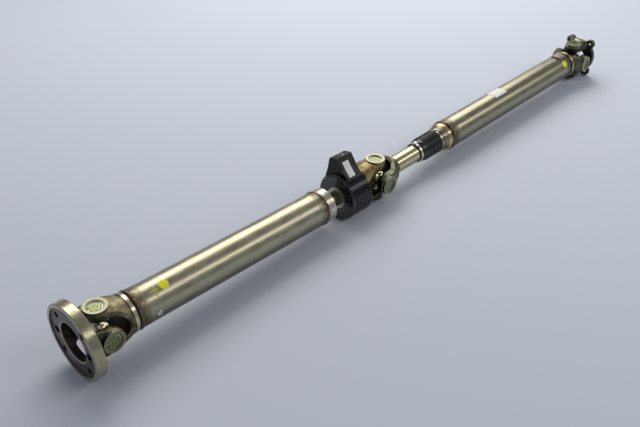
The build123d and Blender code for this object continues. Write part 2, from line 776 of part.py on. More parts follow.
front_cuff = slip_radius + soft_clearance
rear_cuff = cuff_seat_radius + seat_clearance
fold_root = sleeve_nose / 2 + 1.2
fold_crest = boot_diameter / 2 - boot_wall
cuff_end = boot_start + boot_cuff
fold_start = cuff_end + boot_cone
fold_pitch = (boot_end - boot_cuff - fold_start) / boot_folds
cone_radius = fold_crest - 1.5
inner_path = [
    (boot_start, front_cuff), (cuff_end, front_cuff),
    (cuff_end + 3, cone_radius - 1), (fold_start, cone_radius),
]
outer_path = [
    (boot_start, front_cuff + boot_wall), (cuff_end - boot_wall / 2, front_cuff + boot_wall),
    (cuff_end + 3 - boot_wall / 2, cone_radius - 1 + boot_wall), (fold_start, cone_radius + boot_wall),
]
for index in range(boot_folds):
    crest_at = fold_start + (index + 0.5) * fold_pitch
    inner_path += [(crest_at - 0.7, fold_crest), (crest_at + 0.7, fold_crest)]
    outer_path += [(crest_at - 1.1, fold_crest + boot_wall), (crest_at + 1.1, fold_crest + boot_wall)]
    if index < boot_folds - 1:
        root_at = fold_start + (index + 1) * fold_pitch
        inner_path += [(root_at - 0.6, fold_root), (root_at + 0.6, fold_root)]
        outer_path += [(root_at, fold_root + boot_wall)]
inner_path += [(boot_end - boot_cuff, rear_cuff), (boot_end, rear_cuff)]
outer_path += [(boot_end - boot_cuff + boot_wall / 2, rear_cuff + boot_wall), (boot_end, rear_cuff + boot_wall)]
with BuildPart() as slip_boot:
    with BuildSketch(rear_line):
        with BuildLine():
            Polyline(*inner_path, *reversed(outer_path), close=True)
        make_face()
    revolve(axis=Axis(rear_line.origin, rear_line.x_dir))
write(slip_boot.part, "slip_boot")


def band_clamp(start, inner_radius, name):
    """Worm-free crimp band with one raised ear."""
    band_width = 7.0
    band_thickness = 1.0
    with BuildPart() as band:
        with BuildSketch(across(rear_line, start)):
            Circle(inner_radius + band_thickness)
            Circle(inner_radius, mode=Mode.SUBTRACT)
        extrude(amount=band_width)
        with BuildSketch(across(rear_line, start + 0.5)):
            with Locations((0, inner_radius + band_thickness + 1.6)):
                Rectangle(7.0, 4.2)
        extrude(amount=band_width - 1)
    write(band.part, name)


band_clamp(boot_start + 1.5, front_cuff + boot_wall + soft_clearance, "front_boot_clamp")
band_clamp(boot_end - 8.5, rear_cuff + boot_wall + seat_clearance, "rear_boot_clamp")

# ---- Rear tube ----
weld_ring(rear_line, sleeve_end, rear_bore_radius, rear_tube_radius, "rear_weld_near")
rear_tube_start = sleeve_end + weld_width
rear_end_line = along(rear_line, rear_spacing)
rear_fork_line = sideways(reverse(rear_end_line))
rear_weld_start = tube_yoke(rear_fork_line, rear_tube_radius, "rear_tube_yoke")
rear_tube_end = rear_spacing - rear_weld_start - weld_width
write(tube(rear_line, rear_tube_start, rear_tube_end, rear_tube_radius), "rear_tube")
weld_ring(
    rear_fork_line, rear_weld_start, rear_bore_radius, rear_tube_radius, "rear_weld_far"
)

weight_end = rear_tube_end - weight_gap
weight_inner = rear_tube_radius + seat_clearance
with BuildPart() as balance_weight:
    with BuildSketch(across(rear_line, weight_end - weight_length)):
        Circle(weight_inner + weight_thickness)
        Circle(weight_inner, mode=Mode.SUBTRACT)
        with Locations((0, rear_tube_radius)):
            Rectangle(weight_width, rear_tube_radius, mode=Mode.INTERSECT)
    extrude(amount=weight_length)
write(balance_weight.part, "balance_weight")

# ---- Rear joint and rear flange yoke ----
joint_kit(rear_flange_line, "rear")
rear_upright, rear_level = ear_axes(rear_flange_line)
ear_fittings(rear_level, "rear_tube_yoke")
ear_fittings(rear_upright, "rear_flange")

plate_end = rear_plate_start + rear_plate
rear_bolt_places = [(side * rear_bolt_reach, rise * rear_bolt_rise) for side in (1, -1) for rise in (1, -1)]
rear_arms = fork(rear_flange_line, rear_plate_start + 4, 30, 52, rear_plate_start, 8)
with BuildPart() as rear_flange_yoke:
    with BuildSketch(across(rear_flange_line, rear_plate_start)):
        Circle(rear_hub_diameter / 2)
        with Locations(*rear_bolt_places):
            Circle(rear_lobe / 2)
        for way in (1, -1):
            with Locations(Location((0, 0), way * rear_bolt_angle)):
                Rectangle(rear_bolt_circle, rear_lobe)
    extrude(amount=rear_plate)
    add(rear_arms)
    with BuildSketch(across(rear_flange_line, plate_end)):
        Circle(rear_pilot_diameter / 2)
    extrude(amount=rear_pilot_depth)
    with BuildSketch(across(rear_flange_line, rear_plate_start - 2)):
        Circle(rear_bore / 2)
    extrude(amount=rear_plate + rear_pilot_depth + 4, mode=Mode.SUBTRACT)
    with BuildSketch(across(rear_flange_line, rear_plate_start - 1)):
        with Locations(*rear_bolt_places):
            Circle(rear_bolt_hole / 2)
    extrude(amount=rear_plate + 2, mode=Mode.SUBTRACT)
write(rear_flange_yoke.part, "rear_flange_yoke")
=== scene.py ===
import json
import math
import random

import bmesh
import bpy
from mathutils import Matrix, Vector
from mathutils.bvhtree import BVHTree


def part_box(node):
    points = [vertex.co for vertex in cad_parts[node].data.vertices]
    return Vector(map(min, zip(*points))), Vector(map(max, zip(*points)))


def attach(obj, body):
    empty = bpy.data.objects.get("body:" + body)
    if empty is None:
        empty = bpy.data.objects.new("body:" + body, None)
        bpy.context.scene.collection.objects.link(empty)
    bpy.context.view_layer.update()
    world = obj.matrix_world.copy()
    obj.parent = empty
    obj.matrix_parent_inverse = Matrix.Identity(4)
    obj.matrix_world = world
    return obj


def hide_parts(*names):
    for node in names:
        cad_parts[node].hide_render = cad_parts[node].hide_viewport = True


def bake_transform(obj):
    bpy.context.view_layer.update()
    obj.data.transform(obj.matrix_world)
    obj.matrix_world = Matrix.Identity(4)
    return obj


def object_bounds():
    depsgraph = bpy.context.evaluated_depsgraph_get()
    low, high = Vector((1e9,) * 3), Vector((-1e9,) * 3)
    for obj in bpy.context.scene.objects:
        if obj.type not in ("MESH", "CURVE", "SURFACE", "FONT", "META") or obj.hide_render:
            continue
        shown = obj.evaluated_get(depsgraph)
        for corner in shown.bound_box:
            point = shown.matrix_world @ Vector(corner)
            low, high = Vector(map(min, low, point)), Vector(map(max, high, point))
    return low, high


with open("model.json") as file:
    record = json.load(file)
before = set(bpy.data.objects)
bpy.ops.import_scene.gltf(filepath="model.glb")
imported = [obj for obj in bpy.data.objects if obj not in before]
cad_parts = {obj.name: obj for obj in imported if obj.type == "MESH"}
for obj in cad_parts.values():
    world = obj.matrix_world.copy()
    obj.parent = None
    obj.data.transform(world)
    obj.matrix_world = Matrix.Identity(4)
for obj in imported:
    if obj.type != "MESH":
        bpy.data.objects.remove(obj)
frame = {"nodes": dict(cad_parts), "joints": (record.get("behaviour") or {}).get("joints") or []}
cad_low, cad_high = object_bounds()
nodes = frame["nodes"]
joints = {joint["name"]: joint for joint in frame["joints"]}
random.seed(7)

# ---- Shaft lines: the origin, the direction along the shaft, and the floor ----
NEAR_JOINT = Vector(joints["near_cross_turn"]["pos_m"])
CENTRE_JOINT = Vector(joints["centre_cross_turn"]["pos_m"])
REAR_JOINT = Vector(joints["rear_cross_swing"]["pos_m"])
FLOOR = cad_low.z


class Line:
    """A shaft line: station along it, with Y level and Z close to up."""

    def __init__(self, start, end):
        self.start = start
        self.along = (end - start).normalized()
        self.side = Vector((0, 1, 0))
        self.up = self.along.cross(self.side)
        self.tilt = -math.atan2(self.along.z, self.along.x)

    def at(self, station, radius=0.0, angle=0.0):
        """A point at a station and radius; the angle is in degrees from up towards -Y."""
        turn = math.radians(angle)
        return (self.start + self.along * station - self.side * (radius * math.sin(turn))
                + self.up * (radius * math.cos(turn)))

    def station(self, point):
        return (point - self.start).dot(self.along)


FRONT = Line(NEAR_JOINT, CENTRE_JOINT)
REAR = Line(CENTRE_JOINT, REAR_JOINT)
NEAR_END = Line(NEAR_JOINT, NEAR_JOINT + Vector((1, 0, 0)))
FAR_END = Line(REAR_JOINT, REAR_JOINT + Vector((1, 0, 0)))
BACK_FRONT = Line(CENTRE_JOINT, NEAR_JOINT)


# ---- Node materials ----
class Surface:
    """A node material in the making. Methods add nodes and return their output sockets."""

    def __init__(self, name, metallic=0.0, roughness=0.5, specular=0.5):
        self.material = bpy.data.materials.new(name)
        self.material.use_nodes = True
        self.tree = self.material.node_tree
        self.tree.nodes.clear()
        self.output = self.node("ShaderNodeOutputMaterial")
        self.shader = self.node("ShaderNodeBsdfPrincipled")
        self.tree.links.new(self.shader.outputs["BSDF"], self.output.inputs["Surface"])
        self.shader.inputs["Metallic"].default_value = metallic
        self.shader.inputs["Roughness"].default_value = roughness
        self.shader.inputs["Specular IOR Level"].default_value = specular
        self.place = self.node("ShaderNodeTexCoord").outputs["Object"]
        self.heights = []

    def node(self, kind, **settings):
        made = self.tree.nodes.new(kind)
        for key, value in settings.items():
            setattr(made, key, value)
        return made

    def feed(self, socket, value):
        if isinstance(value, bpy.types.NodeSocket):
            self.tree.links.new(value, socket)
        elif socket.type == "RGBA" and len(value) == 3:
            socket.default_value = (*value, 1)
        else:
            socket.default_value = value

    def math(self, operation, a, b=0.0, c=0.0, clamp=False):
        made = self.node("ShaderNodeMath", operation=operation, use_clamp=clamp)
        for socket, value in zip(made.inputs, (a, b, c)):
            self.feed(socket, value)
        return made.outputs[0]

    def vector(self, operation, a, b=None):
        made = self.node("ShaderNodeVectorMath", operation=operation)
        self.feed(made.inputs[0], a)
        if b is not None:
            self.feed(made.inputs[1], b)
        return made.outputs["Value" if operation in ("DISTANCE", "LENGTH", "DOT_PRODUCT") else "Vector"]

    def frame_of(self, line):
        """Place measured from a line's start, with X along the line."""
        made = self.node("ShaderNodeMapping", vector_type="TEXTURE")
        self.feed(made.inputs["Vector"], self.place)
        self.feed(made.inputs["Location"], tuple(line.start))
        self.feed(made.inputs["Rotation"], (0.0, line.tilt, 0.0))
        return made.outputs[0]

    def split(self, vector):
        made = self.node("ShaderNodeSeparateXYZ")
        self.feed(made.inputs[0], vector)
        return made.outputs[0], made.outputs[1], made.outputs[2]

    def join(self, x, y, z):
        made = self.node("ShaderNodeCombineXYZ")
        for socket, value in zip(made.inputs, (x, y, z)):
            self.feed(socket, value)
        return made.outputs[0]

    def round_line(self, line):
        """Station, radius and angle (radians from up) about a line."""
        x, y, z = self.split(self.frame_of(line))
        radius = self.math("SQRT", self.math("ADD", self.math("MULTIPLY", y, y), self.math("MULTIPLY", z, z)))
        return x, radius, self.math("ARCTAN2", y, z)

    def stretch(self, vector, scale):
        made = self.node("ShaderNodeVectorMath", operation="MULTIPLY")
        self.feed(made.inputs[0], vector)
        self.feed(made.inputs[1], scale)
        return made.outputs["Vector"]

    def noise(self, scale, vector=None, detail=3.0, roughness=0.55):
        made = self.node("ShaderNodeTexNoise")
        self.feed(made.inputs["Vector"], vector or self.place)
        self.feed(made.inputs["Scale"], scale)
        self.feed(made.inputs["Detail"], detail)
        self.feed(made.inputs["Roughness"], roughness)
        return made.outputs["Fac"]

    def fade(self, value, low, high, to_low=0.0, to_high=1.0):
        """Smoothly from to_low where value is low, to to_high where it is high."""
        made = self.node("ShaderNodeMapRange", interpolation_type="SMOOTHSTEP")
        for key, number in (("Value", value), ("From Min", low), ("From Max", high),
                            ("To Min", to_low), ("To Max", to_high)):
            self.feed(made.inputs[key], number)
        return made.outputs[0]

    def band(self, value, low, high, edge):
        """1 between low and high, with soft edges."""
        return self.math("MULTIPLY", self.fade(value, low - edge, low + edge),
                         self.fade(value, high - edge, high + edge, 1.0, 0.0))

    def mix(self, factor, a, b):
        made = self.node("ShaderNodeMix", data_type="RGBA")
        self.feed(made.inputs[0], factor)
        self.feed(made.inputs[6], a)
        self.feed(made.inputs[7], b)
        return made.outputs[2]

    def blend(self, factor, a, b):
        made = self.node("ShaderNodeMix", data_type="FLOAT")
        self.feed(made.inputs[0], factor)
        self.feed(made.inputs[2], a)
        self.feed(made.inputs[3], b)
        return made.outputs[0]

    def edges(self, radius, low=0.93, high=0.995):
        """1 along worn edges of this size, 0 on open faces."""
        bevel = self.node("ShaderNodeBevel", samples=4)
        bevel.inputs["Radius"].default_value = radius
        normal = self.node("ShaderNodeNewGeometry").outputs["Normal"]
        return self.fade(self.vector("DOT_PRODUCT", bevel.outputs[0], normal), low, high, 1.0, 0.0)

    def hollow(self, distance=0.05, low=0.35, high=0.95):
        """1 in deep corners that little light reaches, 0 in the open."""
        corner = self.node("ShaderNodeAmbientOcclusion", samples=8)
        corner.inputs["Distance"].default_value = distance
        return self.fade(corner.outputs["AO"], low, high, 1.0, 0.0)

    def emboss(self, height, distance, strength=1.0):
        """Adds a relief of this height in metres."""
        self.heights.append((height, distance, strength))

    def done(self, colour=None, roughness=None, metallic=None, soften=0.0):
        if colour is not None:
            self.feed(self.shader.inputs["Base Color"], colour)
        if roughness is not None:
            self.feed(self.shader.inputs["Roughness"], roughness)
        if metallic is not None:
            self.feed(self.shader.inputs["Metallic"], metallic)
        normal = None
        if soften:
            bevel = self.node("ShaderNodeBevel", samples=6)
            bevel.inputs["Radius"].default_value = soften
            normal = bevel.outputs[0]
        for height, distance, strength in self.heights:
            bump = self.node("ShaderNodeBump")
            bump.inputs["Distance"].default_value = distance
            self.feed(bump.inputs["Strength"], strength)
            self.feed(bump.inputs["Height"], height)
            if normal is not None:
                self.feed(bump.inputs["Normal"], normal)
            normal = bump.outputs[0]
        if normal is not None:
            self.feed(self.shader.inputs["Normal"], normal)
        return self.material


# ---- Colours, and sizes of the CAD that the materials follow ----
STEEL_WARM = (0.62, 0.57, 0.44)
CORNER_SHADE = (0.035, 0.032, 0.030)
FORK_SHADE = (0.045, 0.038, 0.026)
YELLOW = (0.98, 0.90, 0.0)
EAR_FACE = (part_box("slip_yoke")[1].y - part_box("slip_yoke")[0].y) / 2
EAR_INNER = 0.030
SPOT_DEPTH = 0.0004
SHOULDER_START = 0.051
SHOULDER_END = 0.058
GROOVE_END = 0.062
FRONT_SHOULDER = 0.0378
REAR_SHOULDER = 0.0362
BARREL_START = 0.069
BARREL_RADIUS = 0.0215
TUBE_RADIUS = 0.038
FLANGE_BORE = 0.038
PILOT_RADIUS = 0.068
FACE_EDGE = 0.0728
FACE_DEPTH = 0.0030
RIM_DEPTH = 0.0195
RIM_INNER = 0.0600


def turned_lines(surface, value, pitch, distance):
    """Fine tool marks that repeat along value."""
    wobble = surface.noise(900.0, detail=1.0)
    wave = surface.math("SINE", surface.math("MULTIPLY_ADD", value, 2 * math.pi / pitch,
                                              surface.math("MULTIPLY", wobble, 1.5)))
    surface.emboss(wave, distance)
    return wave


def tube_material(name, line, first, last, marks=(), darker=0.0):
    """Drawn steel tube: long grey streaks, fine scuffs, heat stain by its two ends, paint marks, and painted
    shade on its underside.
    """
    s = Surface(name, metallic=1.0)
    station, _, angle = s.round_line(line)
    around = s.math("MULTIPLY", angle, TUBE_RADIUS)
    sheet = s.join(station, around, 0.0)
    streak = s.noise(1.0, s.stretch(sheet, (14.0, 420.0, 1.0)), detail=4.0, roughness=0.6)
    cloud = s.noise(1.0, s.stretch(sheet, (26.0, 60.0, 1.0)), detail=5.0, roughness=0.6)
    grain = s.noise(2600.0, detail=2.0)
    scuff = s.noise(1.0, s.stretch(sheet, (900.0, 90.0, 1.0)), detail=2.0)
    colour = s.mix(s.fade(cloud, 0.25, 0.75), (0.40, 0.365, 0.25), (0.49, 0.455, 0.325))
    colour = s.mix(s.fade(streak, 0.56, 0.72, 0.0, 0.35), colour, (0.27, 0.24, 0.15))
    colour = s.mix(s.fade(scuff, 0.66, 0.74, 0.0, 0.3), colour, (0.66, 0.63, 0.50))
    # darkens the whole tube towards dark brown by this amount; the rear tube is drawn darker than the front
    colour = s.mix(darker, colour, (0.15, 0.13, 0.08))
    # painted shade: the underside is darkened towards dark grey by its angle from up
    under = s.fade(s.math("COSINE", angle), -0.6, 0.35, 0.75, 0.0)
    colour = s.mix(under, colour, (0.17, 0.16, 0.15))
    stain = s.math("ADD", s.fade(station, first + 0.004, first + 0.022, 1.0, 0.0),
                   s.fade(station, last - 0.022, last - 0.004), clamp=True)
    ragged = s.math("MULTIPLY", stain, s.fade(s.noise(120.0), 0.30, 0.62, 0.35, 1.0))
    colour = s.mix(s.math("MULTIPLY", ragged, 0.85), colour, (0.12, 0.085, 0.045))
    rust = s.math("MULTIPLY", s.fade(s.noise(75.0, detail=6.0), 0.64, 0.74), 0.25)
    colour = s.mix(rust, colour, (0.24, 0.16, 0.09))
    rough = s.math("ADD", s.fade(cloud, 0.3, 0.7, 0.27, 0.33),
                   s.math("MULTIPLY", s.math("SUBTRACT", streak, 0.5), 0.14))
    rough = s.blend(ragged, rough, 0.55)
    metallic = s.math("SUBTRACT", 1.0, s.math("MULTIPLY", rust, 0.6))
    for place, size, shade, kind in marks:
        offset = s.vector("SUBTRACT", s.place, tuple(place))
        if kind == "dot":
            reach = s.vector("LENGTH", offset)
            edge = s.math("MULTIPLY_ADD", s.noise(260.0), 0.0035, -0.00175)
            paint = s.fade(s.math("ADD", reach, edge), size - 0.0008, size + 0.0008, 1.0, 0.0)
        else:
            direction, half_length, half_width = kind
            run = s.math("ABSOLUTE", s.vector("DOT_PRODUCT", offset, tuple(direction)))
            reach = s.vector("LENGTH", offset)
            across = s.math("SQRT", s.math("MAXIMUM", s.math("SUBTRACT", s.math("MULTIPLY", reach, reach),
                                                             s.math("MULTIPLY", run, run)), 0.0))
            ragged_edge = s.math("MULTIPLY_ADD", s.noise(330.0), 0.004, -0.002)
            width = s.fade(s.math("ADD", across, ragged_edge),
                           half_width - 0.0007, half_width + 0.0007, 1.0, 0.0)
            paint = s.math("MULTIPLY", width, s.fade(run, half_length - 0.002, half_length + 0.002, 1.0, 0.0))
            paint = s.math("MULTIPLY", paint, s.fade(s.noise(190.0), 0.28, 0.50, 0.45, 0.95))
        colour = s.mix(paint, colour, shade)
        rough = s.blend(paint, rough, 0.42)
        metallic = s.math("MULTIPLY", metallic, s.math("SUBTRACT", 1.0, paint))
        s.emboss(paint, 0.00012)
    s.emboss(streak, 0.00005)
    s.emboss(grain, 0.00003)
    return s.done(colour, rough, metallic)


def forging(s, dark, light, where=1.0):
    """Scaled forging skin: colour with painted shade in deep corners, roughness and a relief that holds where
    the skin is left rough.
    """
    lumps = s.noise(85.0, detail=3.0)
    pits = s.noise(520.0, detail=4.0, roughness=0.65)
    fine = s.noise(1900.0, detail=2.0)
    worn = s.edges(0.0016)
    height = s.math("ADD", s.math("MULTIPLY", lumps, 0.6), s.math("MULTIPLY", pits, 0.4))
    colour = s.mix(s.fade(height, 0.36, 0.64), dark, light)
    colour = s.mix(s.fade(pits, 0.60, 0.72, 0.0, 0.5), colour, (0.10, 0.055, 0.025))
    colour = s.mix(s.math("MULTIPLY", worn, s.fade(pits, 0.3, 0.6, 0.5, 0.95)), colour, STEEL_WARM)
    # painted shade: deep corners are darkened almost to black
    colour = s.mix(s.math("MULTIPLY", s.hollow(), 0.9), colour, CORNER_SHADE)
    rough = s.math("ADD", s.fade(pits, 0.3, 0.7, 0.36, 0.52), s.math("MULTIPLY", worn, -0.12))
    s.emboss(lumps, 0.0010, where)
    s.emboss(pits, 0.0003, where)
    s.emboss(fine, 0.00007, where)
    return colour, rough


def machined(s, tint, value, pitch, rough_low=0.2, rough_high=0.34, depth=0.00002):
    """Cut metal: fine tool lines along value, faint stains."""
    lines = turned_lines(s, value, pitch, depth)
    stain = s.noise(95.0, detail=4.0)
    dark = tuple(channel * 0.62 for channel in tint)
    colour = s.mix(s.fade(stain, 0.42, 0.70, 0.0, 0.6), tint, dark)
    colour = s.mix(s.fade(lines, 0.2, 1.0, 0.0, 0.12), colour, dark)
    return colour, s.fade(stain, 0.3, 0.7, rough_low, rough_high)


def fork_inside(s, line, axis):
    """1 on the inside of a fork, between its two ears and in the pocket behind them, where painted shade is
    laid.
    """
    station, radius, _ = s.round_line(line)
    _, y, z = s.split(s.frame_of(line))
    across = s.math("ABSOLUTE", z if axis == "up" else y)
    between = s.fade(across, EAR_INNER + 0.0012, EAR_INNER + 0.0002)
    ahead = s.math("ABSOLUTE", station)
    deep = s.math("MAXIMUM", s.fade(ahead, 0.029, 0.023), s.fade(radius, 0.0360, 0.0335))
    before_shoulder = s.fade(ahead, SHOULDER_START - 0.001, SHOULDER_START - 0.005)
    return s.math("MULTIPLY", s.math("MULTIPLY", between, deep), before_shoulder)


def spot_faces(s, across):
    """1 on the flat faces round the bearing cups; across is the place along the ears' axis."""
    return s.fade(s.math("ABSOLUTE", across), EAR_FACE - SPOT_DEPTH, EAR_FACE - SPOT_DEPTH / 4)


def near_flange_material():
    """Forged ears, a bright turned rim, and a front face in painted shade, with painted highlights on its lip
    and bore edge.
    """
    s = Surface("near_flange_finish", metallic=1.0)
    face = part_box("near_flange_yoke")[0].x
    x, y, _ = s.split(s.place)
    _, radius, _ = s.round_line(NEAR_END)
    rim = s.math("MULTIPLY", s.fade(x, RIM_DEPTH + 0.0020, RIM_DEPTH),
                 s.fade(radius, RIM_INNER, RIM_INNER + 0.0007))
    on_front = s.math("MULTIPLY", s.fade(x, face + FACE_DEPTH + 0.0004, face + FACE_DEPTH),
                      s.fade(radius, FACE_EDGE + 0.0005, FACE_EDGE))
    cut_away = s.math("MAXIMUM", rim, on_front)
    as_forged = s.math("SUBTRACT", 1.0, cut_away)
    skin, skin_rough = forging(s, (0.11, 0.10, 0.055), (0.31, 0.29, 0.17), as_forged)
    cut, cut_rough = machined(s, (0.52, 0.47, 0.31), radius, 0.0009)
    shade = s.noise(26.0, detail=3.0)
    cut = s.mix(s.fade(shade, 0.4, 0.7, 0.0, 0.5), cut, (0.33, 0.30, 0.18))
    colour = s.mix(rim, skin, cut)
    rough = s.blend(rim, skin_rough, cut_rough)
    # front face: dark purplish painted shade with bright flecks, and painted highlights on the lip and the
    # bore edge
    flecks = s.noise(700.0, detail=2.0)
    oil = s.noise(60.0, detail=4.0)
    front = s.mix(s.fade(oil, 0.35, 0.65), (0.070, 0.052, 0.062), (0.14, 0.11, 0.125))
    front = s.mix(s.fade(flecks, 0.63, 0.70, 0.0, 0.8), front, (0.62, 0.54, 0.50))
    # painted highlights: bright bands on the bore edge and the lip
    bore = s.band(radius, FLANGE_BORE - 0.0005, FLANGE_BORE + 0.0030, 0.0002)
    lip = s.band(radius, PILOT_RADIUS, FACE_EDGE, 0.0002)
    front = s.mix(s.math("MULTIPLY", s.math("MAXIMUM", bore, lip), 0.85), front, (0.60, 0.55, 0.45))
    colour = s.mix(on_front, colour, front)
    rough = s.blend(on_front, rough, s.fade(oil, 0.3, 0.7, 0.24, 0.40))
    s.emboss(flecks, 0.00006)
    # painted shade inside the fork, between the ears
    colour = s.mix(s.math("MULTIPLY", fork_inside(s, NEAR_END, "side"), 0.8), colour, FORK_SHADE)
    # painted shade on the wall of the bore
    bore_wall_shade = s.math("MULTIPLY", s.fade(radius, FLANGE_BORE + 0.0004, FLANGE_BORE + 0.0001),
                  s.fade(x, 0.030, 0.026))
    colour = s.mix(s.math("MULTIPLY", bore_wall_shade, 0.85), colour, (0.045, 0.040, 0.030))
    spot = s.math("MULTIPLY", spot_faces(s, y), s.fade(x, 0.028, 0.029))
    colour = s.mix(spot, colour, (0.27, 0.26, 0.17))
    return s.done(colour, rough, soften=0.0005)


def yoke_material(name, line, dark, light, ring_radius, spot_axis):
    """Forged yoke with a turned shoulder ring, a dark weld groove and machined spot faces."""
    s = Surface(name, metallic=1.0)
    station, radius, _ = s.round_line(line)
    _, y, z = s.split(s.frame_of(line))
    on_ring = 0.0
    if ring_radius:
        on_ring = s.math("MULTIPLY", s.band(station, SHOULDER_START, SHOULDER_END + 0.0003, 0.0003),
                         s.fade(radius, ring_radius, ring_radius + 0.0006))
    spot = spot_faces(s, z if spot_axis == "up" else y)
    cut_away = s.math("MAXIMUM", on_ring, spot)
    colour, rough = forging(s, dark, light, s.math("SUBTRACT", 1.0, cut_away))
    # painted shade inside the fork, between the ears
    colour = s.mix(s.math("MULTIPLY", fork_inside(s, line, spot_axis), 0.85), colour, FORK_SHADE)
    if ring_radius:
        cut, cut_rough = machined(s, (0.70, 0.63, 0.44), station, 0.0008)
        colour = s.mix(on_ring, colour, cut)
        rough = s.blend(on_ring, rough, cut_rough)
        in_groove = s.band(station, SHOULDER_END + 0.0003, GROOVE_END, 0.0003)
        colour = s.mix(in_groove, colour, (0.05, 0.04, 0.03))
    colour = s.mix(spot, colour, (0.29, 0.275, 0.18))
    rough = s.blend(spot, rough, 0.30)
    return s.done(colour, rough, soften=0.0005)


def plain_steel(name, tint, rough=(0.22, 0.38), stain=0.5, bump=0.00003):
    """Small machined or stamped steel part with light stains and worn edges."""
    s = Surface(name, metallic=1.0)
    cloud = s.noise(160.0, detail=5.0)
    fine = s.noise(1500.0, detail=3.0)
    dark = tuple(channel * 0.45 for channel in tint)
    colour = s.mix(s.fade(cloud, 0.40, 0.70, 0.0, stain), tint, dark)
    colour = s.mix(s.math("MULTIPLY", s.edges(0.0006), 0.5), colour, (0.85, 0.82, 0.74))
    s.emboss(fine, bump)
    s.emboss(cloud, bump * 2)
    return s.done(colour, s.fade(cloud, 0.3, 0.7, *rough), soften=0.0003)


def cup_material(name, line, axis):
    """End of a bearing cup: green-brown steel with turned rings about its own axis and a bright rim."""
    s = Surface(name, metallic=1.0)
    x, y, z = s.split(s.frame_of(line))
    other = y if axis == "up" else z
    radius = s.math("SQRT", s.math("ADD", s.math("MULTIPLY", x, x), s.math("MULTIPLY", other, other)))
    cloud = s.noise(190.0, detail=5.0)
    colour = s.mix(s.fade(cloud, 0.36, 0.66), (0.17, 0.22, 0.09), (0.33, 0.36, 0.20))
    groove = s.math("MAXIMUM", s.band(radius, 0.0098, 0.0112, 0.0002), s.band(radius, 0.0036, 0.0044, 0.0002))
    colour = s.mix(s.math("MULTIPLY", groove, 0.75), colour, (0.045, 0.055, 0.022))
    colour = s.mix(s.band(radius, 0.0114, 0.0128, 0.0002), colour, (0.60, 0.58, 0.42))
    s.emboss(s.math("SUBTRACT", 1.0, groove), 0.0006)
    s.emboss(s.noise(1200.0, detail=3.0), 0.00004)
    return s.done(colour, s.fade(cloud, 0.3, 0.7, 0.24, 0.42), soften=0.0003)


def rubber(name, base=0.012, rough=(0.34, 0.55), dust=0.35, bump=0.0001, shine=0.3):
    """Black moulded rubber with a fine skin and a little dust on what faces up."""
    s = Surface(name, roughness=0.45, specular=shine)
    skin = s.noise(1400.0, detail=3.0)
    cloud = s.noise(55.0, detail=5.0, roughness=0.65)
    up = s.split(s.node("ShaderNodeNewGeometry").outputs["Normal"])[2]
    dusty = s.math("MULTIPLY", s.fade(up, 0.1, 0.95, 0.0, dust), s.fade(cloud, 0.38, 0.68))
    black = (base, base * 0.98, base * 0.95)
    colour = s.mix(dusty, black, (0.115, 0.105, 0.085))
    s.emboss(skin, bump)
    s.emboss(cloud, bump * 3)
    return s.done(colour, s.fade(cloud, 0.3, 0.7, *rough), soften=0.0004)


def sticker_material(name):
    """White paper, blank, with light creases and grime."""
    s = Surface(name, roughness=0.5)
    crease = s.noise(90.0, detail=3.0)
    grime = s.noise(240.0, detail=5.0)
    colour = s.mix(s.fade(grime, 0.56, 0.78, 0.0, 0.35), (0.94, 0.93, 0.88), (0.72, 0.69, 0.60))
    s.emboss(crease, 0.0003)
    return s.done(colour, s.fade(grime, 0.3, 0.7, 0.38, 0.6))


def weld_material(name):
    """Scaly weld metal: dark brown with blue-grey and bright spots."""
    s = Surface(name, metallic=1.0)
    cloud = s.noise(210.0, detail=4.0)
    spots = s.noise(900.0, detail=3.0)
    colour = s.mix(s.fade(cloud, 0.35, 0.65), (0.10, 0.065, 0.040), (0.26, 0.20, 0.14))
    colour = s.mix(s.fade(spots, 0.60, 0.70, 0.0, 0.6), colour, (0.50, 0.47, 0.42))
    s.emboss(cloud, 0.0002)
    s.emboss(spots, 0.00005)
    return s.done(colour, s.fade(cloud, 0.3, 0.7, 0.35, 0.55))


def sleeve_material():
    """Splined sleeve: turned rings with straw and brown heat tint that deepens towards the weld."""
    s = Surface("slip_sleeve_finish", metallic=1.0)
    station, _, _ = s.round_line(REAR)
    cut, cut_rough = machined(s, (0.62, 0.58, 0.48), station, 0.0008)
    wander = s.math("MULTIPLY_ADD", s.noise(70.0, detail=3.0), 0.012, -0.006)
    heat = s.math("ADD", station, wander)
    weld_at = REAR.station(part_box("rear_weld_near")[0])
    colour = s.mix(s.fade(heat, weld_at - 0.026, weld_at - 0.014), cut, (0.60, 0.48, 0.27))
    colour = s.mix(s.fade(heat, weld_at - 0.012, weld_at - 0.004), colour, (0.30, 0.19, 0.11))
    colour = s.mix(s.fade(heat, weld_at - 0.004, weld_at), colour, (0.12, 0.09, 0.08))
    return s.done(colour, cut_rough, soften=0.0004)


